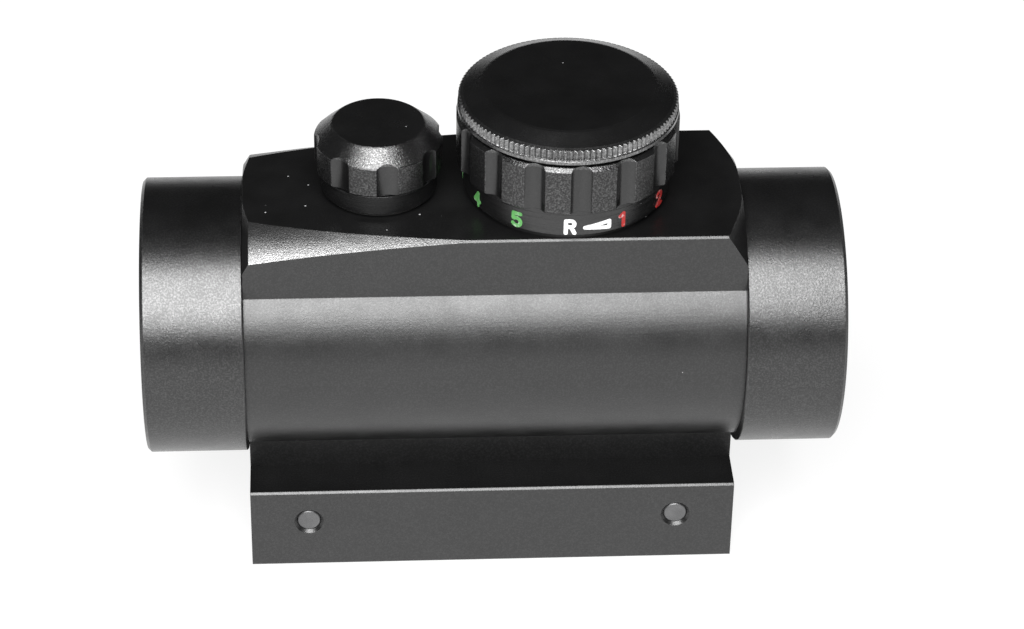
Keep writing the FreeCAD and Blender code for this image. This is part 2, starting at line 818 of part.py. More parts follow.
def make_battery_cap_seal():
    height = grip_top - chamber_mouth_depth + lid_seal_section + 0.05
    return o_ring(lid_seal_radius, lid_seal_section, height, dial_frame)


def make_battery_cap():
    ribs = []
    for i in range(2 * lid_ribs):
        angle = math.pi * (i + 0.5) / lid_ribs
        radius = lid_knurl_radius - (lid_knurl_depth if i % 2 else 0.0)
        ribs.append(Vector(radius * math.cos(angle), radius * math.sin(angle), lid_lip_top))
    knurl = Part.Face(Part.makePolygon(ribs + ribs[:1]))
    knurl = knurl.extrude(Vector(0, 0, lid_knurl_top - lid_lip_top))
    knurl = knurl.common(turned([
        (lid_rib_root - 0.7, lid_lip_top), (lid_knurl_radius, lid_lip_top),
        (lid_knurl_radius, lid_knurl_top - 0.15), (lid_knurl_radius - 0.25, lid_knurl_top),
        (lid_rib_root - 0.7, lid_knurl_top)], here))
    body = turned([
        (0, lid_ceiling), (lid_wall_inner, lid_ceiling), (lid_wall_inner, lid_spigot_bottom),
        (lid_wall_outer - 0.2, lid_spigot_bottom), (lid_wall_outer, lid_spigot_bottom + 0.2),
        (lid_wall_outer, lid_bottom),
        (lid_lip_radius - 0.15, lid_bottom), (lid_lip_radius, lid_bottom + 0.15),
        (lid_lip_radius, lid_lip_top - 0.12), (lid_lip_radius - 0.2, lid_lip_top),
        (lid_rib_root, lid_lip_top), (lid_rib_root, lid_knurl_top),
        (lid_knurl_radius - 0.32, lid_knurl_top),
        (lid_top_radius + 0.25, lid_top - 0.12), (lid_top_radius - 0.1, lid_top), (0, lid_top),
    ], here)
    return placed(body.fuse(knurl).removeSplitter(), dial_frame)


# ---------------------------------------------------------------- clamp

def make_clamp_jaw():
    inner = jaw_inner_face
    top = ledge_height - jaw_top_gap
    break_size = base_edge_break
    outline = [
        (base_half_width, base_bottom + break_size), (base_half_width, top - break_size),
        (base_half_width - break_size, top), (inner, top),
        (inner, groove_top + groove_half_width - inner), (groove_half_width, groove_top),
        (groove_half_width, groove_bottom),
        (lip_half_width, groove_bottom - (groove_half_width - lip_half_width)),
        (lip_half_width, base_bottom), (base_half_width - break_size, base_bottom),
    ]
    jaw = prism(outline, -housing_half_length, housing_half_length)
    holes = [rod(jaw_hole_radius, 0, 20, frame_at(x, 0, screw_height, to_y))
             for x in (-screw_spacing_half, screw_spacing_half)]
    return jaw.cut(holes)


def make_clamp_washers():
    low = base_half_width
    return Part.makeCompound([
        washer(washer_radius, screw_radius + 0.15, low, low + washer_thickness,
               frame_at(x, 0, screw_height, to_y))
        for x in (-screw_spacing_half, screw_spacing_half)])


def make_clamp_screw(x):
    place = frame_at(x, 0, screw_height, to_y)
    head_low = base_half_width + washer_thickness + stack_gap
    head_top = head_low + screw_head_height
    corner = screw_head_flats / math.sqrt(3)
    hexagon = [Vector(corner * math.cos(a), corner * math.sin(a), head_low) for a in around(6, 30)]
    head = Part.Face(Part.makePolygon(hexagon + hexagon[:1]))
    head = head.extrude(Vector(0, 0, screw_head_height))
    head = head.common(turned([
        (0, head_low), (corner - 0.25, head_low), (corner, head_low + 0.25),
        (corner, head_top - 0.35), (corner - 0.6, head_top), (0, head_top)], here))
    tip = -base_half_width + screw_tip_recess
    chamfer = screw_tip_chamfer
    shank = turned([
        (0, tip), (screw_radius - chamfer, tip), (screw_radius, tip + chamfer),
        (screw_radius, head_low + 0.5), (0, head_low + 0.5),
    ], here)
    slot = block((-6, -0.5 * screw_slot_width, head_top - screw_slot_depth),
                 (6, 0.5 * screw_slot_width, head_top + 1))
    return placed(head.fuse(shank).cut(slot), place)


# ---------------------------------------------------------------- assembly

def make_parts():
    parts["housing"] = make_housing()
    ends = {"objective": (objective_ring_length, objective_frame),
            "eyepiece": (eyepiece_ring_length, eyepiece_frame)}
    for name, (length, end) in ends.items():
        parts[name + "_ring"] = make_end_ring(length, end)
        parts[name + "_window"] = make_window(end)
        parts[name + "_window_seal"] = make_window_seal(end)
        parts[name + "_lock_ring"] = make_lock_ring(end)

    parts["inner_tube"] = make_inner_tube()
    parts["pivot_ring"] = make_pivot_ring()
    parts["pivot_pins"] = make_pivot_pins()
    parts["reflex_lens"] = make_reflex_lens()
    parts["lens_retainer"] = make_lens_retainer()
    parts["return_spring"] = make_return_spring()
    parts["emitter_holder"] = make_emitter_holder()
    parts["emitter"] = make_emitter()
    parts["emitter_aperture"] = make_emitter_aperture()
    parts["emitter_lead"] = make_emitter_lead()

    for name, turret in {"elevation": elevation_frame, "windage": windage_frame}.items():
        parts[name + "_cap"] = make_turret_cap(turret)
        parts[name + "_cap_seal"] = make_cap_seal(turret)
        parts[name + "_bushing"] = make_bushing(turret)
        parts[name + "_drum"] = make_drum(turret)
        parts[name + "_drum_clip"] = make_drum_clip(turret)
        parts[name + "_click_ball"] = make_click_ball(turret)
        parts[name + "_click_spring"] = make_click_spring(turret)
        parts[name + "_plunger"] = make_plunger(turret)

    parts["dial"] = make_dial()
    parts["dial_base"] = make_dial_base()
    parts["dial_base_screws"] = make_dial_base_screws()
    parts["switch_board"] = make_switch_board()
    parts["dial_wiper"] = make_dial_wiper()
    parts["dial_detent_ball"] = make_detent_ball()
    parts["dial_detent_spring"] = make_detent_spring()
    parts["dial_retainer"] = make_dial_retainer()
    parts["dial_retainer_screw"] = make_dial_retainer_screw()
    parts["dial_hub_seal"] = make_dial_hub_seal()
    parts["battery_tray"] = make_battery_tray()
    parts["battery_contact"] = make_battery_contact()
    parts["battery"] = make_battery()
    parts["battery_spring"] = make_battery_spring()
    parts["battery_cap_seal"] = make_battery_cap_seal()
    parts["battery_cap"] = make_battery_cap()

    parts["clamp_jaw"] = make_clamp_jaw()
    parts["clamp_washers"] = make_clamp_washers()
    parts["front_clamp_screw"] = make_clamp_screw(-screw_spacing_half)
    parts["rear_clamp_screw"] = make_clamp_screw(screw_spacing_half)


make_parts()
os.makedirs("parts", exist_ok=True)
for name, shape in parts.items():
    if not shape.isValid() or not shape.Solids:
        raise SystemExit("bad shape: " + name)
    shape.exportStep("parts/" + name + ".step")
    box = shape.BoundBox
    print("%-24s %d solid(s) %9.2f mm3  x %.2f %.2f  y %.2f %.2f  z %.2f %.2f" % (
        name, len(shape.Solids), shape.Volume, box.XMin, box.XMax, box.YMin, box.YMax,
        box.ZMin, box.ZMax))
print(len(parts), "nodes")
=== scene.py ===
import json
import math

import bmesh
import bpy
from mathutils import Matrix, Vector


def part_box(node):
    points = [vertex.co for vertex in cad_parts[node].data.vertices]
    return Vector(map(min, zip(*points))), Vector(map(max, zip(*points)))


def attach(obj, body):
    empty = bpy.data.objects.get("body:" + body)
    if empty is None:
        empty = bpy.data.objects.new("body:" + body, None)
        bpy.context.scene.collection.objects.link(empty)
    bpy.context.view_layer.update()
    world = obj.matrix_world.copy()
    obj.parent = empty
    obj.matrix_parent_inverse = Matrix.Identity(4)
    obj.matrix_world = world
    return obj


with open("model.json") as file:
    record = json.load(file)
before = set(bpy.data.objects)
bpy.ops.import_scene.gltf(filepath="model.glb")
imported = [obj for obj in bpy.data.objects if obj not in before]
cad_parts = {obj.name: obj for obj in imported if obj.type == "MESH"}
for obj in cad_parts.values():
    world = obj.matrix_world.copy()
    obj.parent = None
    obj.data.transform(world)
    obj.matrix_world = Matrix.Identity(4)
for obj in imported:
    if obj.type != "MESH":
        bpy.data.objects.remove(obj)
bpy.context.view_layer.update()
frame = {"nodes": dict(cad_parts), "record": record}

MM = 0.001
nodes = frame["nodes"]


# ---------------------------------------------------------------- places from the frame

def middle_of(node):
    low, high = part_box(node)
    return (low + high) / 2


tube_axis = middle_of("objective_ring").z
floor_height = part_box("housing")[0].z
dial_middle = middle_of("dial")
skirt_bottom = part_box("dial")[0].z
elevation_middle = middle_of("elevation_cap")
windage_middle = middle_of("windage_cap")


# ---------------------------------------------------------------- sizes

SKIRT_RADIUS = 14.5 * MM
SKIRT_HEIGHT = 4.1 * MM
GRIP_RADIUS = 15.5 * MM
KNURL_ROOT = 14.5 * MM
CAP_BAND_RADIUS = 8.9 * MM
CAP_BAND_BOTTOM = 3.34 * MM     # above the cap's own lower edge
CAP_BAND_TOP = 7.89 * MM
GRIP_HEIGHT = 6.7 * MM          # the dial's fluted band, above the skirt
FLUTE_START = 0.07 * MM         # a point this far inside a grip's radius is in a flute
LEDGE_HEIGHT = 7.55 * MM        # just under the top of the base, from the rail seat
RECESS_HEIGHT = 7 * MM          # the ledge, neck and underside of the barrel, above the ledge
TAPER_END = 3 * MM              # the block's turned taper lies ahead of this
TAPER_RADIUS = 20 * MM          # and outside this, from the tube's axis
FIRST_MARK_ANGLE = -91.7        # the dial's R, in degrees about the dial's axis
MARK_STEP = 30.0
STROKE_WIDTH = 0.57 * MM
PAINT_HEIGHT = 0.03 * MM
PAINT_DEPTH = 0.03 * MM
GLYPH_HALF_WIDTH = 0.66 * MM
GLYPH_HALF_HEIGHT = 0.98 * MM
MARK_HEIGHT = 1.5 * MM          # middle of the marks above the skirt's lower edge


# ---------------------------------------------------------------- camera, lights, floor

CAMERA_LENS = 119.14            # mm, on a sensor 36 mm wide
CAMERA_TARGET = Vector((3.165 * MM, 0, tube_axis - 1.13 * MM))
CAMERA_DISTANCE = 487.7 * MM
CAMERA_AZIMUTH = -3.613
CAMERA_ELEVATION = 35.1385
CAMERA_ROLL = 1.0464
KEY_AZIMUTH = -9
KEY_ELEVATION = 48
KEY_DISTANCE = 0.9
KEY_SIZE = (0.66, 0.80)
KEY_POWER = 20
WORLD_STRENGTH = 0.02
FLOOR_HALF = 3.0
FLOOR_GLOW = 0.84

def look_frame(azimuth, elevation, roll):
    """The three axes of a view: right, up, and back towards the viewer. Degrees."""
    azimuth, elevation, roll = map(math.radians, (azimuth, elevation, roll))
    back = Vector((math.sin(azimuth) * math.cos(elevation),
                   -math.cos(azimuth) * math.cos(elevation), math.sin(elevation)))
    right = Vector((math.cos(azimuth), math.sin(azimuth), 0))
    up = back.cross(right)
    return (right * math.cos(roll) + up * math.sin(roll),
            up * math.cos(roll) - right * math.sin(roll), back)


def aim(thing, target, distance, azimuth, elevation, roll=0.0):
    right, up, back = look_frame(azimuth, elevation, roll)
    turn = Matrix((right, up, back)).transposed()
    thing.matrix_world = Matrix.Translation(target + back * distance) @ turn.to_4x4()


def make_camera():
    data = bpy.data.cameras.new("camera")
    data.sensor_width = 36
    data.lens = CAMERA_LENS
    data.clip_start = 0.01
    camera = bpy.data.objects.new("camera", data)
    bpy.context.scene.collection.objects.link(camera)
    aim(camera, CAMERA_TARGET, CAMERA_DISTANCE, CAMERA_AZIMUTH, CAMERA_ELEVATION, CAMERA_ROLL)
    bpy.context.scene.camera = camera


def make_softbox(name, azimuth, elevation, distance, size, power):
    data = bpy.data.lights.new(name, "AREA")
    data.shape = "RECTANGLE"
    data.size, data.size_y = size
    data.energy = power
    light = bpy.data.objects.new(name, data)
    bpy.context.scene.collection.objects.link(light)
    aim(light, Vector((0, 0, tube_axis)), distance, azimuth, elevation)


def make_world():
    world = bpy.data.worlds.new("world")
    world.use_nodes = True
    background = world.node_tree.nodes["Background"]
    background.inputs["Color"].default_value = (1, 1, 1, 1)
    background.inputs["Strength"].default_value = WORLD_STRENGTH
    bpy.context.scene.world = world
    bpy.context.scene.view_settings.view_transform = "Standard"


def make_floor():
    mesh = bpy.data.meshes.new("floor")
    corners = [(-1, -1), (1, -1), (1, 1), (-1, 1)]
    mesh.from_pydata([(x * FLOOR_HALF, y * FLOOR_HALF, floor_height) for x, y in corners], [],
                     [(0, 1, 2, 3)])
    floor = bpy.data.objects.new("floor", mesh)
    bpy.context.scene.collection.objects.link(floor)
    floor.data.materials.append(floor_sheet())


# ---------------------------------------------------------------- shader helpers

def add(tree, kind, inputs=None, **settings):
    """A shader node. An input is a constant or another node's output."""
    node = tree.nodes.new("ShaderNode" + kind)
    for name, value in settings.items():
        setattr(node, name, value)
    for key, value in (inputs or {}).items():
        if isinstance(value, bpy.types.NodeSocket):
            tree.links.new(value, node.inputs[key])
        else:
            node.inputs[key].default_value = value
    return node


def new_material(name, constants):
    """A material with a Principled shader. Its constants stay on the shader's own sockets."""
    material = bpy.data.materials.new(name)
    material.use_nodes = True
    tree = material.node_tree
    shader = tree.nodes["Principled BSDF"]
    for key, value in constants.items():
        shader.inputs[key].default_value = value
    return material, tree, shader


def position(tree):
    return add(tree, "TexCoord").outputs["Object"]


def noise(tree, where, scale, detail=2.0, roughness=0.55):
    return add(tree, "TexNoise", {"Vector": where, "Scale": scale, "Detail": detail,
                                  "Roughness": roughness}).outputs["Fac"]


def stretched(tree, where, factors):
    return add(tree, "VectorMath", {0: where, 1: factors}, operation="MULTIPLY").outputs[0]


def remap(tree, value, low, high, to_low, to_high):
    return add(tree, "MapRange", {"Value": value, "From Min": low, "From Max": high,
                                  "To Min": to_low, "To Max": to_high}).outputs["Result"]


def calc(tree, operation, first, second):
    return add(tree, "Math", {0: first, 1: second}, operation=operation).outputs[0]


def blend_colour(tree, factor, first, second):
    node = add(tree, "Mix", {"Factor": factor}, data_type="RGBA")
    for socket, value in ((node.inputs[6], first), (node.inputs[7], second)):
        if isinstance(value, bpy.types.NodeSocket):
            tree.links.new(value, socket)
        else:
            socket.default_value = value
    return node.outputs[2]


def blend_value(tree, factor, first, second):
    return add(tree, "Mix", {"Factor": factor, 2: first, 3: second}).outputs[0]


def grey(value):
    """A barely cool grey."""
    return (value, value, value * 1.02, 1)


def toned(colour, scale, lift=0.0):
    """The colour made lighter or darker, with each channel kept to 1 at most."""
    return tuple(min(1.0, channel * scale + lift) for channel in colour[:3]) + (1,)


def edge_mask(tree, radius):
    """(rounded normal, 0 to 1 at sharp edges)"""
    rounded = add(tree, "Bevel", {"Radius": radius}, samples=4).outputs[0]
    flat = add(tree, "NewGeometry").outputs["Normal"]
    facing = add(tree, "VectorMath", {0: rounded, 1: flat}, operation="DOT_PRODUCT").outputs[1]
    return rounded, remap(tree, facing, 0.985, 0.8, 0.0, 1.0)


def speck_mask(tree, where, scale, keep, size):
    """Sparse round specks: a few random cells keep one each."""
    cells = add(tree, "TexVoronoi", {"Vector": where, "Scale": scale})
    chosen = calc(tree, "GREATER_THAN",
                  add(tree, "SeparateColor", {0: cells.outputs["Color"]}).outputs[0], 1 - keep)
    near = calc(tree, "LESS_THAN", cells.outputs["Distance"], size)
    return calc(tree, "MULTIPLY", chosen, near)


def bumped(tree, height, strength, distance, normal=None):
    inputs = {"Height": height, "Strength": strength, "Distance": distance}
    if normal is not None:
        inputs["Normal"] = normal
    return add(tree, "Bump", inputs).outputs[0]


def between(tree, value, low, high):
    return calc(tree, "MULTIPLY", calc(tree, "GREATER_THAN", value, low),
                calc(tree, "LESS_THAN", value, high))


def facing_up(tree):
    return add(tree, "SeparateXYZ",
               {0: add(tree, "NewGeometry").outputs["Normal"]}).outputs["Z"]


def radius_from(tree, where, centre, axis):
    """Distance from an axis through centre."""
    keep = {"X": (0, 1, 1), "Y": (1, 0, 1), "Z": (1, 1, 0)}[axis]
    offset = add(tree, "VectorMath", {0: where, 1: centre}, operation="SUBTRACT").outputs[0]
    return add(tree, "VectorMath", {0: stretched(tree, offset, keep)},
               operation="LENGTH").outputs[1]


def along_axis(tree, where, axis):
    return add(tree, "SeparateXYZ", {0: where}).outputs[axis]


# ---------------------------------------------------------------- black anodised aluminium

GRAIN_SCALE = 5200
SPARKLE_SCALE = 3600
GLINT_SCALE = 4200
BLACK_TONE = 0.005
WORN_TONE = 0.16
DUST_TONE = 0.4
PLATFORM_DUST = 0.7             # share of cells that hold a speck on the housing's top
OTHER_DUST = 0.02
SATIN_SHINE = 0.46              # specular levels
# lowered in the recess under the barrel: painted shade
PAINTED_RECESS_SHADE = 0.2
# raised down the block's turned taper: painted highlight
PAINTED_TAPER_HIGHLIGHT = 1.9
GRIP_SHINE = 0.45
# raised above the fluted band: painted highlight
PAINTED_GRIP_TOP_HIGHLIGHT = 0.75
SKIRT_SHINE = 0.45
# lowered on the caps' collars under the band: painted shade
PAINTED_COLLAR_SHADE = 0.2
# raised on the knurl's ribs: painted highlight
PAINTED_RIB_HIGHLIGHT = 1.5


def anodised_base(name, rough, is_housing=False):
    """The start of each anodised finish: colour clouds, edge wear, dust and fine grain."""
    material, tree, shader = new_material(name, {"IOR": 1.66})
    where = position(tree)
    rounded, edge = edge_mask(tree, 0.16 * MM)
    clouds = noise(tree, where, 120, 3)
    colour = blend_colour(tree, remap(tree, clouds, 0.35, 0.65, 0, 1),
                          grey(BLACK_TONE * 0.8), grey(BLACK_TONE * 1.2))
    worn = calc(tree, "MULTIPLY", edge, remap(tree, noise(tree, where, 900, 4), 0.42, 0.7, 0, 0.7))
    settled = calc(tree, "GREATER_THAN", facing_up(tree), 0.95)
    if is_housing:
        worn = blend_value(tree, recess_mask(tree, where), worn, 0.0)
        above = calc(tree, "GREATER_THAN", along_axis(tree, where, "Z"), tube_axis)
        settled = calc(tree, "MULTIPLY", settled, above)
    dusty = PLATFORM_DUST if is_housing else OTHER_DUST
    colour = blend_colour(tree, worn, colour, grey(WORN_TONE))
    dust = calc(tree, "MULTIPLY", speck_mask(tree, where, 430, dusty, 0.06), settled)
    dust = calc(tree, "MAXIMUM", dust, speck_mask(tree, where, 500, 0.015, 0.05))
    colour = blend_colour(tree, dust, colour, grey(DUST_TONE))
    tree.links.new(colour, shader.inputs["Base Color"])
    fine = noise(tree, where, GRAIN_SCALE, 2, 0.7)
    smudges = remap(tree, noise(tree, where, 260, 3), 0.3, 0.7, rough - 0.03, rough + 0.04)
    return material, tree, shader, where, rounded, fine, smudges


def taper_mask(tree, where, upward):
    """0 to 1 down the turned taper at the front of the turret block, slowly at first."""
    radius = radius_from(tree, where, (0, 0, tube_axis), "X")
    ahead = calc(tree, "LESS_THAN", along_axis(tree, where, "X"), TAPER_END)
    above = calc(tree, "GREATER_THAN", along_axis(tree, where, "Z"), tube_axis)
    turned = calc(tree, "MULTIPLY", between(tree, upward, 0.74, 0.97),
                  calc(tree, "GREATER_THAN", radius, TAPER_RADIUS))
    where_turned = calc(tree, "MULTIPLY", turned, calc(tree, "MULTIPLY", ahead, above))
    fade = remap(tree, upward, 0.94, 0.8, 0.0, 1.0)
    return calc(tree, "MULTIPLY", where_turned, calc(tree, "MULTIPLY", fade, fade))


def recess_mask(tree, where):
    """1 in the recess under the barrel (ledge, neck and barrel's underside), where a lower
    specular level paints shade.
    """
    return between(tree, along_axis(tree, where, "Z"), LEDGE_HEIGHT, LEDGE_HEIGHT + RECESS_HEIGHT)


def set_glints(tree, shader, where, amount, level=0.5):
    """Grains that catch the light: a few reflect much more than the rest."""
    grains = noise(tree, where, GLINT_SCALE, 1, 0.5)
    extra = calc(tree, "MULTIPLY", remap(tree, grains, 0.42, 0.75, -0.5, 2.0), amount)
    tree.links.new(calc(tree, "ADD", extra, level), shader.inputs["Specular IOR Level"])


def satin_anodised():
    """Housing and jaw: an even fine satin with slight lengthwise drawing marks and nicks; a
    painted highlight down the turned taper and painted shade in the recess under the barrel.
    """
    parts = anodised_base("satin_black_anodised", 0.33, True)
    material, tree, shader, where, rounded, fine, smudges = parts
    drawn = noise(tree, stretched(tree, where, (0.05, 1, 1)), 3500, 2)
    height = calc(tree, "ADD", fine, calc(tree, "MULTIPLY", drawn, 0.35))
    upward = facing_up(tree)
    taper = taper_mask(tree, where, upward)
    height = blend_value(tree, taper, height, calc(tree, "MULTIPLY", fine, 2.5))
    nicks = speck_mask(tree, stretched(tree, where, (0.4, 1, 1)), 900, 0.02, 0.12)
    height = calc(tree, "SUBTRACT", height,
                  calc(tree, "MULTIPLY", nicks, blend_value(tree, taper, 3.0, 0.0)))
    recess = recess_mask(tree, where)
    # Painted shade: a lower specular level in the recess under the barrel.
    shine = blend_value(tree, recess, SATIN_SHINE, PAINTED_RECESS_SHADE)
    # Painted highlight: a raised specular level down the turned taper, stronger where its surface
    # faces further from straight up.
    shine = blend_value(tree, taper, shine, PAINTED_TAPER_HIGHLIGHT)
    set_glints(tree, shader, where, blend_value(tree, taper, 0.05, 0.5), shine)
    tree.links.new(smudges, shader.inputs["Roughness"])
    flat = add(tree, "NewGeometry").outputs["Normal"]
    facing = add(tree, "Mix", {"Factor": recess}, data_type="VECTOR")
    tree.links.new(rounded, facing.inputs[4])
    tree.links.new(flat, facing.inputs[5])
    tree.links.new(bumped(tree, height, 0.55, 0.04 * MM, facing.outputs[1]),
                   shader.inputs["Normal"])
    return material


def blasted_anodised():
    """End rings: bead-blasted, with a visible grain."""
    parts = anodised_base("blasted_black_anodised", 0.29)
    material, tree, shader, where, rounded, fine, smudges = parts
    coarse = noise(tree, where, SPARKLE_SCALE, 2, 0.8)
    height = calc(tree, "ADD", fine, coarse)
    set_glints(tree, shader, where, 0.12)
    tree.links.new(smudges, shader.inputs["Roughness"])
    tree.links.new(bumped(tree, height, 0.5, 0.035 * MM, rounded), shader.inputs["Normal"])
    return material


def turned_grip(name, centre, axis, band_radius, band_low, band_high, below_shine):
    """A fluted grip: sparkling blasted lands, smooth flutes, turned lines below the band, and a
    painted highlight above the band.
    """
    parts = anodised_base(name, 0.25)
    material, tree, shader, where, rounded, fine, smudges = parts
    radius = radius_from(tree, where, centre, axis)
    height = along_axis(tree, where, axis)
    in_band = between(tree, height, band_low, band_high)
    flute = calc(tree, "MULTIPLY", in_band,
                 calc(tree, "LESS_THAN", radius, band_radius - FLUTE_START))
    below = calc(tree, "LESS_THAN", height, band_low)
    smooth = calc(tree, "MAXIMUM", flute, below)
    sparkle = calc(tree, "ADD", fine, noise(tree, where, SPARKLE_SCALE, 2, 0.85))
    lines = add(tree, "TexNoise", {"W": height, "Scale": 9000, "Detail": 2.0},
                noise_dimensions="1D").outputs["Fac"]
    plain = blend_value(tree, below, calc(tree, "MULTIPLY", fine, 0.35), lines)
    bumps = blend_value(tree, smooth, sparkle, plain)
    above = calc(tree, "GREATER_THAN", height, band_high)
    # Painted highlight: a raised specular level above the band.
    shine = blend_value(tree, above, GRIP_SHINE, PAINTED_GRIP_TOP_HIGHLIGHT)
    # Below the band the level is below_shine, which on the caps' collars is painted shade.
    shine = blend_value(tree, below, shine, below_shine)
    set_glints(tree, shader, where, blend_value(tree, smooth, 0.28, 0.03), shine)
    tree.links.new(bumped(tree, bumps, 0.75, 0.045 * MM, rounded), shader.inputs["Normal"])
    rough = calc(tree, "ADD", smudges, calc(tree, "MULTIPLY", smooth, -0.03))
    tree.links.new(rough, shader.inputs["Roughness"])
    return material


def knurled_cap(centre):
    """Battery cap: fine grain, a painted highlight on the ribs from a raised specular level, faint
    turning rings on the flat top.
    """
    parts = anodised_base("knurled_black_anodised", 0.26)
    material, tree, shader, where, rounded, fine, smudges = parts
    radius = radius_from(tree, where, centre, "Z")
    rings = add(tree, "TexNoise", {"W": radius, "Scale": 5000, "Detail": 3.0},
                noise_dimensions="1D").outputs["Fac"]
    height = calc(tree, "ADD", fine, calc(tree, "MULTIPLY", rings, 0.3))
    ribs = calc(tree, "GREATER_THAN", radius, KNURL_ROOT)
    # Painted highlight: a raised specular level and more glints on the ribs.
    set_glints(tree, shader, where, blend_value(tree, ribs, 0.08, 0.7),
               blend_value(tree, ribs, GRIP_SHINE, PAINTED_RIB_HIGHLIGHT))
    tree.links.new(smudges, shader.inputs["Roughness"])
    tree.links.new(bumped(tree, height, 0.4, 0.03 * MM, rounded), shader.inputs["Normal"])
    return material


# ---------------------------------------------------------------- other finishes

METAL_GRAIN_SCALE = 3000


def fine_metal(name, colour, rough, metallic=1.0):
    """Machined metal with a fine grain, patchy tone and worn edges."""
    material, tree, shader = new_material(name, {"Metallic": metallic})
    where = position(tree)
    rounded, edge = edge_mask(tree, 0.08 * MM)
    patches = remap(tree, noise(tree, where, 400, 4), 0.3, 0.7, 0, 1)
    base = blend_colour(tree, patches, toned(colour, 0.72), colour)
    worn = calc(tree, "MULTIPLY", edge, 0.6)
    base = blend_colour(tree, worn, base, toned(colour, 1.3, 0.02))
    tree.links.new(base, shader.inputs["Base Color"])
    grain = noise(tree, where, METAL_GRAIN_SCALE, 3, 0.6)
    tree.links.new(remap(tree, grain, 0.3, 0.7, rough - 0.07, rough + 0.09),
                   shader.inputs["Roughness"])
    tree.links.new(bumped(tree, grain, 0.2, 0.015 * MM, rounded), shader.inputs["Normal"])
    return material


def moulded(name, colour, rough, gloss=0.5):
    """Rubber, moulded plastic or solder mask, with a soft mottled surface."""
    material, tree, shader = new_material(name, {"Specular IOR Level": gloss})
    where = position(tree)
    mottle = noise(tree, where, 1500, 4, 0.6)
    tone = blend_colour(tree, remap(tree, mottle, 0.35, 0.7, 0, 1), colour,
                        toned(colour, 1.5, 0.004))
    tree.links.new(tone, shader.inputs["Base Color"])
    tree.links.new(remap(tree, mottle, 0.3, 0.7, rough - 0.06, rough + 0.08),
                   shader.inputs["Roughness"])
    tree.links.new(bumped(tree, mottle, 0.3, 0.02 * MM), shader.inputs["Normal"])
    return material


def glass(name, tint, film_thickness, film_ior):
    """Polished glass with a thin coating, faint dust and a barely uneven polish."""
    material, tree, shader = new_material(name, {
        "Transmission Weight": 1.0, "IOR": 1.5, "Base Color": tint,
        "Thin Film Thickness": film_thickness, "Thin Film IOR": film_ior})
    where = position(tree)
    dust = speck_mask(tree, where, 900, 0.03, 0.1)
    haze = remap(tree, noise(tree, where, 300, 4), 0.4, 0.8, 0.0, 0.04)
    tree.links.new(calc(tree, "MAXIMUM", haze, calc(tree, "MULTIPLY", dust, 0.6)),
                   shader.inputs["Roughness"])
    tree.links.new(bumped(tree, noise(tree, where, 500, 2), 0.02, 0.01 * MM),
                   shader.inputs["Normal"])
    return material


def paint(name, colour):
    """Thick enamel with a soft uneven surface, rubbed pale in patches."""
    material, tree, shader = new_material(name, {"Specular IOR Level": 0.5})
    where = position(tree)
    uneven = noise(tree, where, 2600, 3, 0.6)
    tone = blend_colour(tree, remap(tree, uneven, 0.3, 0.7, 0, 1), toned(colour, 0.7), colour)
    rubbed = remap(tree, noise(tree, where, 1900, 2), 0.55, 0.72, 0, 0.8)
    tone = blend_colour(tree, rubbed, tone, toned(colour, 0.4, 0.35))
    tree.links.new(tone, shader.inputs["Base Color"])
    tree.links.new(remap(tree, uneven, 0.3, 0.7, 0.35, 0.5), shader.inputs["Roughness"])
    tree.links.new(bumped(tree, uneven, 0.5, 0.05 * MM), shader.inputs["Normal"])
    return material


def floor_sheet():
    """White acrylic sheet, softly lit from beneath."""
    material, tree, shader = new_material("floor_sheet", {
        "Emission Color": (1, 1, 1, 1), "Emission Strength": FLOOR_GLOW})
    where = position(tree)
    cloud = remap(tree, noise(tree, where, 6, 2), 0.3, 0.7, 0.0, 1.0)
    tree.links.new(blend_colour(tree, cloud, (0.17, 0.17, 0.17, 1), (0.18, 0.18, 0.18, 1)),
                   shader.inputs["Base Color"])
    tree.links.new(remap(tree, cloud, 0, 1, 0.55, 0.6), shader.inputs["Roughness"])
    return material


# ---------------------------------------------------------------- finishes on the CAD nodes

def cap_grip(name, centre, axis, low):
    # The collar under the band gets a low specular level: painted shade.
    return turned_grip(name, centre, axis, CAP_BAND_RADIUS, low + CAP_BAND_BOTTOM,
                       low + CAP_BAND_TOP, PAINTED_COLLAR_SHADE)


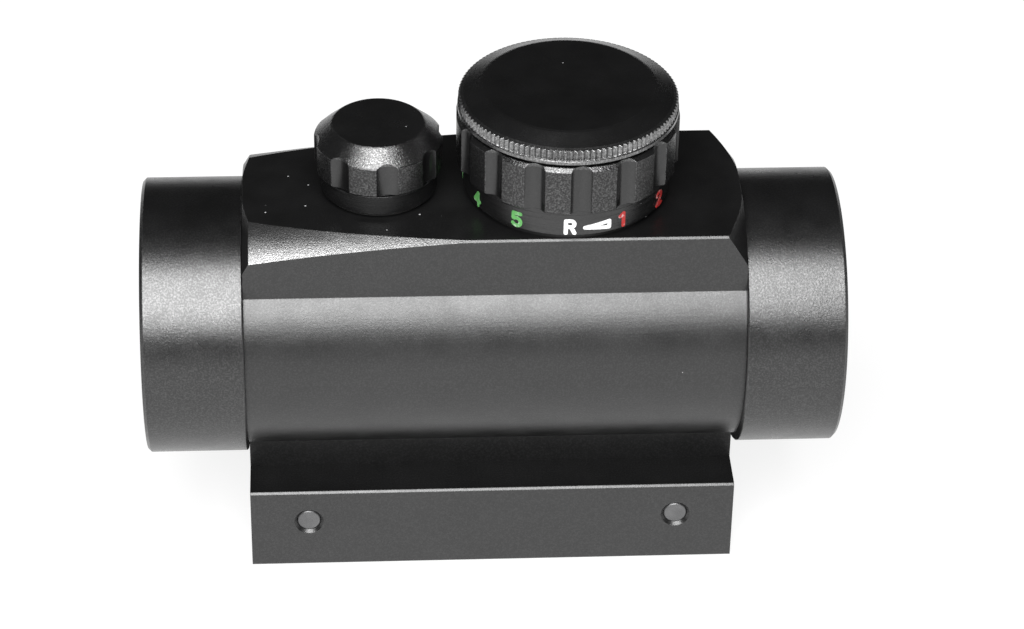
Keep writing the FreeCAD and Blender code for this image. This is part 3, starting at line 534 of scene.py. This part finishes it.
def finish_nodes():
    """Each CAD node gets its material by name, and the rest by the record's slot."""
    by_node = {
        "housing": satin_anodised(),
        "objective_ring": blasted_anodised(),
        "dial": turned_grip("dial_anodised", dial_middle, "Z", GRIP_RADIUS,
                            skirt_bottom + SKIRT_HEIGHT,
                            skirt_bottom + SKIRT_HEIGHT + GRIP_HEIGHT, SKIRT_SHINE),
        "battery_cap": knurled_cap(dial_middle),
        "elevation_cap": cap_grip("elevation_cap_anodised", elevation_middle, "Z",
                                  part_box("elevation_cap")[0].z),
        "windage_cap": cap_grip("windage_cap_anodised", windage_middle, "Y",
                                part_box("windage_cap")[0].y),
    }
    by_node["clamp_jaw"] = by_node["housing"]
    by_node["eyepiece_ring"] = by_node["objective_ring"]
    by_slot = {
        "matte_black_metal": fine_metal("matte_black_metal", (0.012, 0.012, 0.012, 1), 0.6, 0.2),
        "black_steel": fine_metal("black_oxide_steel", (0.16, 0.16, 0.162, 1), 0.4, 0.85),
        "brass": fine_metal("machined_brass", (0.62, 0.43, 0.17, 1), 0.3),
        "spring_steel": fine_metal("spring_steel", (0.5, 0.5, 0.52, 1), 0.25),
        "rubber": moulded("rubber_seal", (0.012, 0.012, 0.012, 1), 0.6, 0.35),
        "black_plastic": moulded("black_plastic", (0.02, 0.02, 0.02, 1), 0.45),
        "red_plastic": moulded("red_plastic", (0.45, 0.02, 0.015, 1), 0.3),
        "circuit_board": moulded("green_board", (0.02, 0.14, 0.05, 1), 0.35),
        "clear_glass": glass("coated_window", (0.97, 0.99, 1.0, 1), 110, 1.38),
        "coated_glass": glass("dichroic_lens", (1.0, 0.9, 0.85, 1), 420, 2.1),
    }
    slots = {row["node"]: row["material_slot"] for row in frame["record"]["subparts"]}
    for name, node in nodes.items():
        node.material_slots[0].material = by_node.get(name) or by_slot[slots[name]]


# ---------------------------------------------------------------- dial marks

def arc(centre, radii, start, end):
    """Points on an ellipse from start to end degrees, every 12 degrees or so."""
    steps = max(2, round(abs(end - start) / 12))
    points = []
    for i in range(steps + 1):
        angle = math.radians(start + (end - start) * i / steps)
        points.append((centre[0] + radii[0] * math.cos(angle),
                       centre[1] + radii[1] * math.sin(angle)))
    return points


# Strokes of each mark, in half widths and half heights of the mark.
GLYPHS = {
    "1": [[(-0.6, 0.6), (0.2, 1.0)], [(0.2, 1.0), (0.2, -1.0)]],
    "2": [arc((0, 0.42), (0.95, 0.58), 165, -35), [(0.78, 0.09), (-0.95, -1)],
          [(-0.95, -1), (1, -1)]],
    "3": [arc((-0.05, 0.5), (0.9, 0.5), 150, -90), arc((-0.05, -0.5), (0.95, 0.5), 90, -150)],
    "4": [[(0.45, -1), (0.45, 1)], [(0.45, 1), (-0.95, -0.35)], [(-0.95, -0.35), (1, -0.35)]],
    "5": [[(0.85, 1), (-0.75, 1)], [(-0.75, 1), (-0.8, 0.15)],
          arc((-0.05, -0.37), (0.95, 0.63), 130, -150)],
    "R": [[(-0.9, -1), (-0.9, 1)], [(-0.9, 1), (0.1, 1)], arc((0.1, 0.5), (0.75, 0.5), 90, -90),
          [(0.1, 0), (-0.9, 0)], [(0.15, 0), (0.9, -1)]],
    "G": [arc((0, 0), (0.95, 1), 50, 325), [(0.8, -0.58), (0.95, -0.05)],
          [(0.95, -0.05), (0.2, -0.05)]],
    "wedge": [[(-2.65, -0.2), (2.6, -0.62)], [(2.6, -0.62), (2.6, 0.4)],
              [(2.6, 0.4), (-2.65, -0.2)]],
}


def resampled(points, step):
    """The same path with more points, for bending round the dial."""
    path = [Vector(points[0])]
    for start, end in zip(points, points[1:]):
        start, end = Vector(start), Vector(end)
        count = max(1, math.ceil((end - start).length / step))
        path += [start.lerp(end, i / count) for i in range(1, count + 1)]
    return path


def stroke_rows(path, width):
    """(left, right) points along a stroke with round ends."""
    rows = []
    half = width / 2
    for i, point in enumerate(path):
        ahead = path[min(i + 1, len(path) - 1)]
        behind = path[max(i - 1, 0)]
        along = (ahead - behind).normalized()
        side = Vector((-along.y, along.x))
        spots = [(0.0, 1.0)]
        if i == 0:
            spots = [(-math.cos(a), math.sin(a)) for a in (0.05, 0.4, 0.8, 1.2)] + spots
        if i == len(path) - 1:
            spots = spots + [(math.cos(a), math.sin(a)) for a in (1.2, 0.8, 0.4, 0.05)]
        for forward, spread in spots:
            centre = point + along * forward * half
            rows.append((centre + side * spread * half, centre - side * spread * half))
    return rows


def stroke_solid(mesh, points, angle, lift):
    """Adds one painted stroke to a mesh, wrapped round the dial's skirt at an angle."""
    rows = stroke_rows(resampled(points, 0.12 * MM), STROKE_WIDTH)
    middle = skirt_bottom + MARK_HEIGHT

    def wrapped(spot, radius):
        turn = angle + spot.x / SKIRT_RADIUS
        return mesh.verts.new((dial_middle.x + radius * math.cos(turn),
                               dial_middle.y + radius * math.sin(turn), middle + spot.y))

    outer, inner = SKIRT_RADIUS + PAINT_HEIGHT + lift, SKIRT_RADIUS - PAINT_DEPTH
    rings = [(wrapped(left, outer), wrapped(right, outer), wrapped(right, inner),
              wrapped(left, inner)) for left, right in rows]
    for first, second in zip(rings, rings[1:]):
        for k in range(4):
            after = (k + 1) % 4
            mesh.faces.new((first[k], first[after], second[after], second[k]))
    mesh.faces.new(rings[0][::-1])
    mesh.faces.new(rings[-1])


def make_mark(name, glyph, angle_degrees, material):
    mesh = bmesh.new()
    scale = Vector((GLYPH_HALF_WIDTH, GLYPH_HALF_HEIGHT))
    for k, stroke in enumerate(GLYPHS[glyph]):
        points = [Vector(point) * scale for point in stroke]
        stroke_solid(mesh, points, math.radians(angle_degrees), 0.002 * MM * k)
    bmesh.ops.recalc_face_normals(mesh, faces=mesh.faces)
    data = bpy.data.meshes.new(name)
    mesh.to_mesh(data)
    mesh.free()
    mark = bpy.data.objects.new(name, data)
    bpy.context.scene.collection.objects.link(mark)
    data.materials.append(material)
    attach(mark, "dial")


def make_marks():
    """R and G, each followed by a wedge over its numbers: red 1 to 5 and green 1 to 5."""
    white = paint("white_enamel", (0.85, 0.85, 0.85, 1))
    colours = {"red": ("R", FIRST_MARK_ANGLE, paint("red_enamel", (0.42, 0.022, 0.02, 1))),
               "green": ("G", FIRST_MARK_ANGLE + 6 * MARK_STEP,
                         paint("green_enamel", (0.10, 0.34, 0.09, 1)))}
    for colour, (letter, start, enamel) in colours.items():
        make_mark("mark_" + letter, letter, start, white)
        make_mark("mark_" + colour + "_wedge", "wedge", start + MARK_STEP / 2, white)
        for number in range(1, 6):
            make_mark("mark_%s_%d" % (colour, number), str(number),
                      start + number * MARK_STEP, enamel)


# ---------------------------------------------------------------- the scene

make_camera()
make_world()
make_softbox("key", KEY_AZIMUTH, KEY_ELEVATION, KEY_DISTANCE, KEY_SIZE, KEY_POWER)
make_floor()
finish_nodes()
make_marks()
